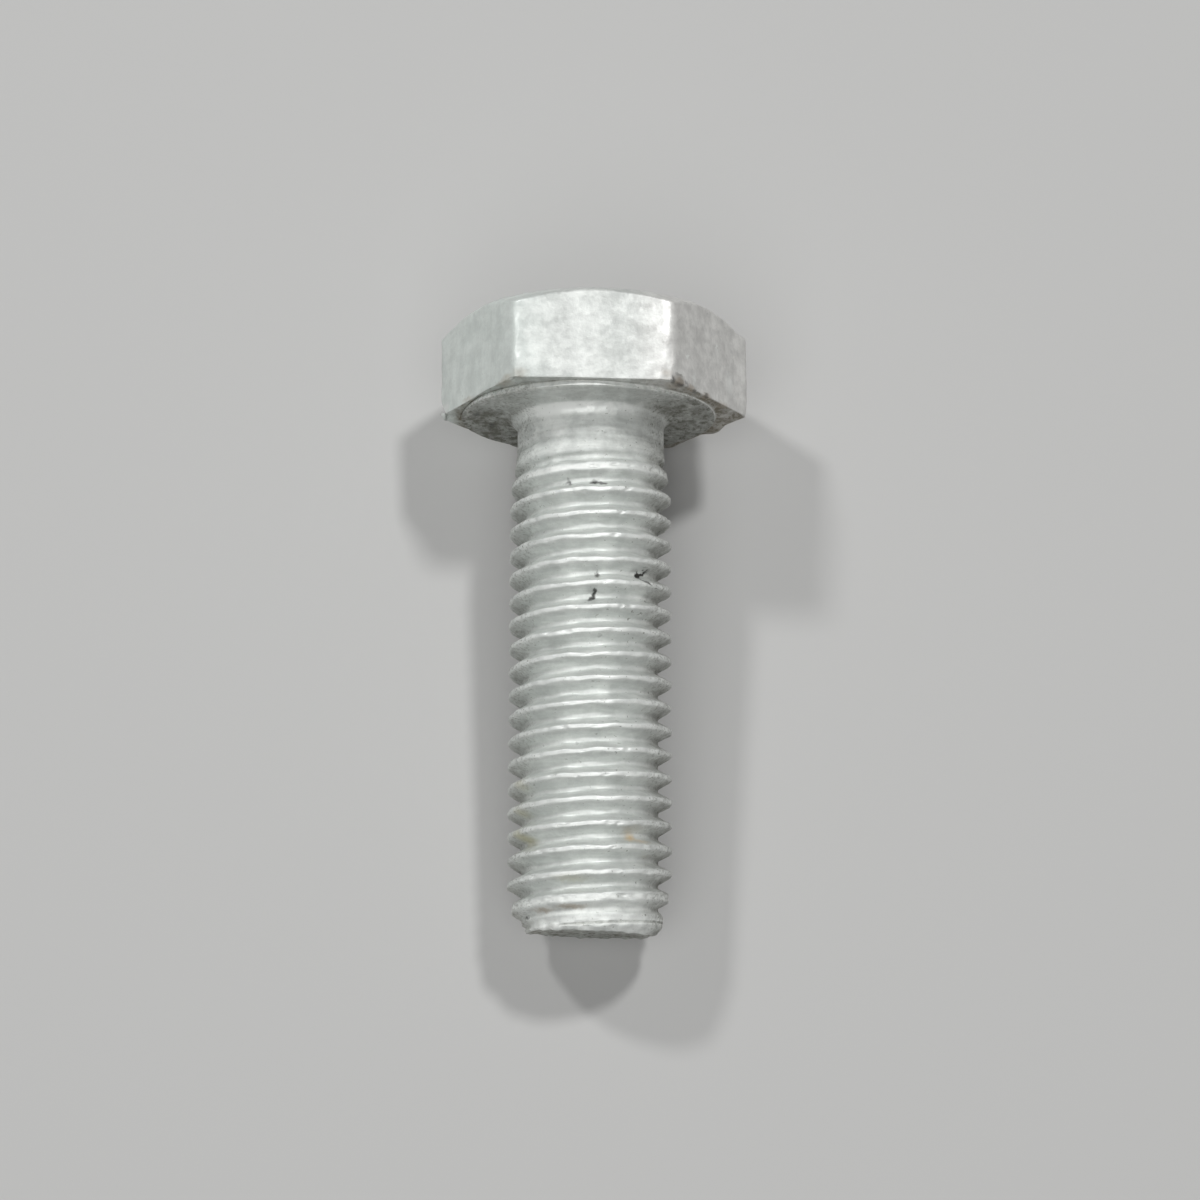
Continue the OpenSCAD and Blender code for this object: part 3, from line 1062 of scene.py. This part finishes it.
def lay_floor(context, stage):
    """A square of floor at the level that the bolt lies on."""
    mesh = bpy.data.meshes.new("floor")
    corners = [
        (x * FLOOR_REACH, y * FLOOR_REACH, CAD_BOX[0].z)
        for x, y in ((-1, -1), (1, -1), (1, 1), (-1, 1))
    ]
    mesh.from_pydata(corners, [], [(0, 1, 2, 3)])
    mesh.materials.append(matt_floor(stage.floor, stage.backdrop))
    floor = bpy.data.objects.new("floor", mesh)
    context.scene.collection.objects.link(floor)


def hang_lamp(context, stage, name, heading, breadth):
    """A round soft lamp, at the lamp distance from the bolt's middle in the given direction. A
    disc of power P lights a floor at distance d, seen at an angle t from upright, with a level
    P cos(t) / (pi d)^2, so its power is level (pi d)^2 / cos(t)."""
    direction = Vector(heading).normalized()
    lamp = bpy.data.lights.new(name, "AREA")
    lamp.shape = "DISK"
    lamp.size = stage.lamp_size * breadth
    lamp.energy = getattr(stage, name) * (math.pi * stage.lamp_distance) ** 2 / direction.z
    holder = bpy.data.objects.new(name, lamp)
    middle = (CAD_BOX[0] + CAD_BOX[1]) / 2
    holder.location = middle + direction * stage.lamp_distance
    holder.rotation_euler = direction.to_track_quat("Z", "Y").to_euler()
    context.scene.collection.objects.link(holder)


def light_world(context, stage):
    """Even ambient light, with the backdrop's colour for the camera and for reflections."""
    world = bpy.data.worlds.new("studio")
    r = Recipe(world)
    shown = r.mix(seen_directly(r), rgba([stage.ambient] * 3), rgba(stage.backdrop))
    glow = r.put("ShaderNodeBackground", {"Color": shown, "Strength": 1})
    r.put("ShaderNodeOutputWorld", {"Surface": glow.outputs[0]})
    context.scene.world = world


def place_camera(context, stage):
    """The camera looks down at the target from its distance, elevation and azimuth, rolled a
    little about its view."""
    camera = bpy.data.cameras.new("camera")
    camera.lens = stage.lens
    camera.sensor_width = 36
    camera.clip_start = 0.01
    camera.clip_end = 20
    forward = Vector((
        math.sin(stage.azimuth) * math.cos(stage.elevation),
        math.cos(stage.azimuth) * math.cos(stage.elevation),
        -math.sin(stage.elevation),
    ))
    sideways = Vector((math.cos(stage.azimuth), -math.sin(stage.azimuth), 0))
    above = sideways.cross(forward)
    right = math.cos(stage.roll) * sideways + math.sin(stage.roll) * above
    up = right.cross(forward)
    holder = bpy.data.objects.new("camera", camera)
    turn = Matrix((right, up, -forward)).transposed().to_4x4()
    stand = Vector(stage.target) - forward * stage.distance
    holder.matrix_world = Matrix.Translation(stand) @ turn
    context.scene.collection.objects.link(holder)
    context.scene.camera = holder
    context.scene.view_settings.view_transform = "Standard"


class VIEW3D_PT_bolt(bpy.types.Panel):
    """Sizes, finish and stage of the bolt"""

    bl_idname = "VIEW3D_PT_bolt"
    bl_label = "Heavy hex bolt"
    bl_space_type = "VIEW_3D"
    bl_region_type = "UI"
    bl_category = "Bolt"

    def draw(self, context):
        layout = self.layout
        for group, action in (
            (context.scene.bolt_sizes, "bolt.make_bolt"),
            (context.scene.zinc_finish, None),
            (context.scene.studio_stage, "bolt.set_stage"),
        ):
            box = layout.box()
            for name in group.__annotations__:
                box.prop(group, name)
            if action:
                box.operator(action)


CLASSES = (
    BoltSizes, ZincFinish, StudioStage, BOLT_OT_make_bolt, BOLT_OT_set_stage, VIEW3D_PT_bolt,
)


def register():
    for cls in CLASSES:
        bpy.utils.register_class(cls)
    bpy.types.Scene.bolt_sizes = PointerProperty(type=BoltSizes)
    bpy.types.Scene.zinc_finish = PointerProperty(type=ZincFinish)
    bpy.types.Scene.studio_stage = PointerProperty(type=StudioStage)


def unregister():
    del bpy.types.Scene.studio_stage
    del bpy.types.Scene.zinc_finish
    del bpy.types.Scene.bolt_sizes
    for cls in reversed(CLASSES):
        bpy.utils.unregister_class(cls)


def main():
    register()
    bpy.ops.bolt.make_bolt()
    bpy.ops.bolt.set_stage()


if __name__ == "__main__":
    main()
